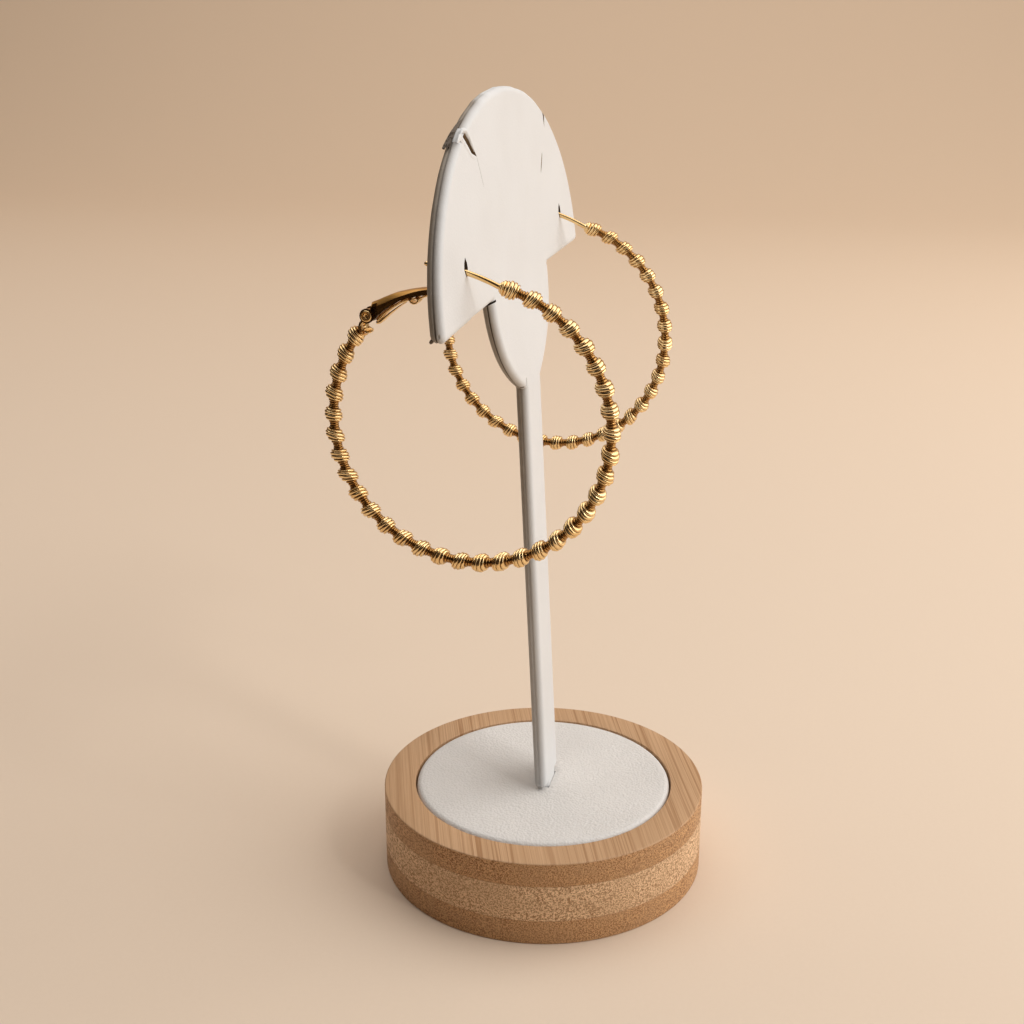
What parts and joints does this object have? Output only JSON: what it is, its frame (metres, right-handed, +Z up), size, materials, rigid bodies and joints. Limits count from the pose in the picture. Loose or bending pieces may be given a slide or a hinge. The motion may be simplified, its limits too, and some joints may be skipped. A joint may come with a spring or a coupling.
{
  "type": "pair of hoop earrings on display stand",
  "caption": "Gold beaded hoop earrings with hinged lever backs, hung by their posts through slits in a wrapped, winged display board on a round padded bamboo base.",
  "frame": {"origin": "middle of the round base's underside", "axes": "+Z up, -Y the board's front, where the beaded fronts of the hoops hang, X along the board's width"},
  "size_m": [0.1326, 0.08, 0.1894],
  "materials": {
    "bamboo": "clear satin",
    "pad_leatherette": "fine grain",
    "board_leatherette": "fine grain",
    "gold_beads": "ribbed and polished",
    "gold_polished": "polished"
  },
  "bodies": {
    "stand_and_hoops": {"base_bottom_ply": "bamboo", "base_middle_ply": "bamboo", "base_top_ply": "bamboo", "base_pad": "pad_leatherette", "display_board": "board_leatherette", "left_beaded_hoop": "gold_beads", "right_beaded_hoop": "gold_beads"},
    "left_lever_body": {"left_lever": "gold_polished", "left_lever_spring": "gold_polished", "left_hinge_rivet": "gold_polished"},
    "right_lever_body": {"right_lever": "gold_polished", "right_lever_spring": "gold_polished", "right_hinge_rivet": "gold_polished"}
  },
  "joints": [
    {"name": "left_lever_hinge", "type": "hinge", "parent": "stand_and_hoops", "child": "left_lever_body", "pos_m": [-0.04571, 0.02684, 0.1471], "axis": [0.9993, -0.0384, 0], "range_deg": [-12, 45]},
    {"name": "right_lever_hinge", "type": "hinge", "parent": "stand_and_hoops", "child": "right_lever_body", "pos_m": [0.0473, 0.02724, 0.14804], "axis": [0.9993, -0.0384, 0], "range_deg": [-12, 45]}
  ]
}
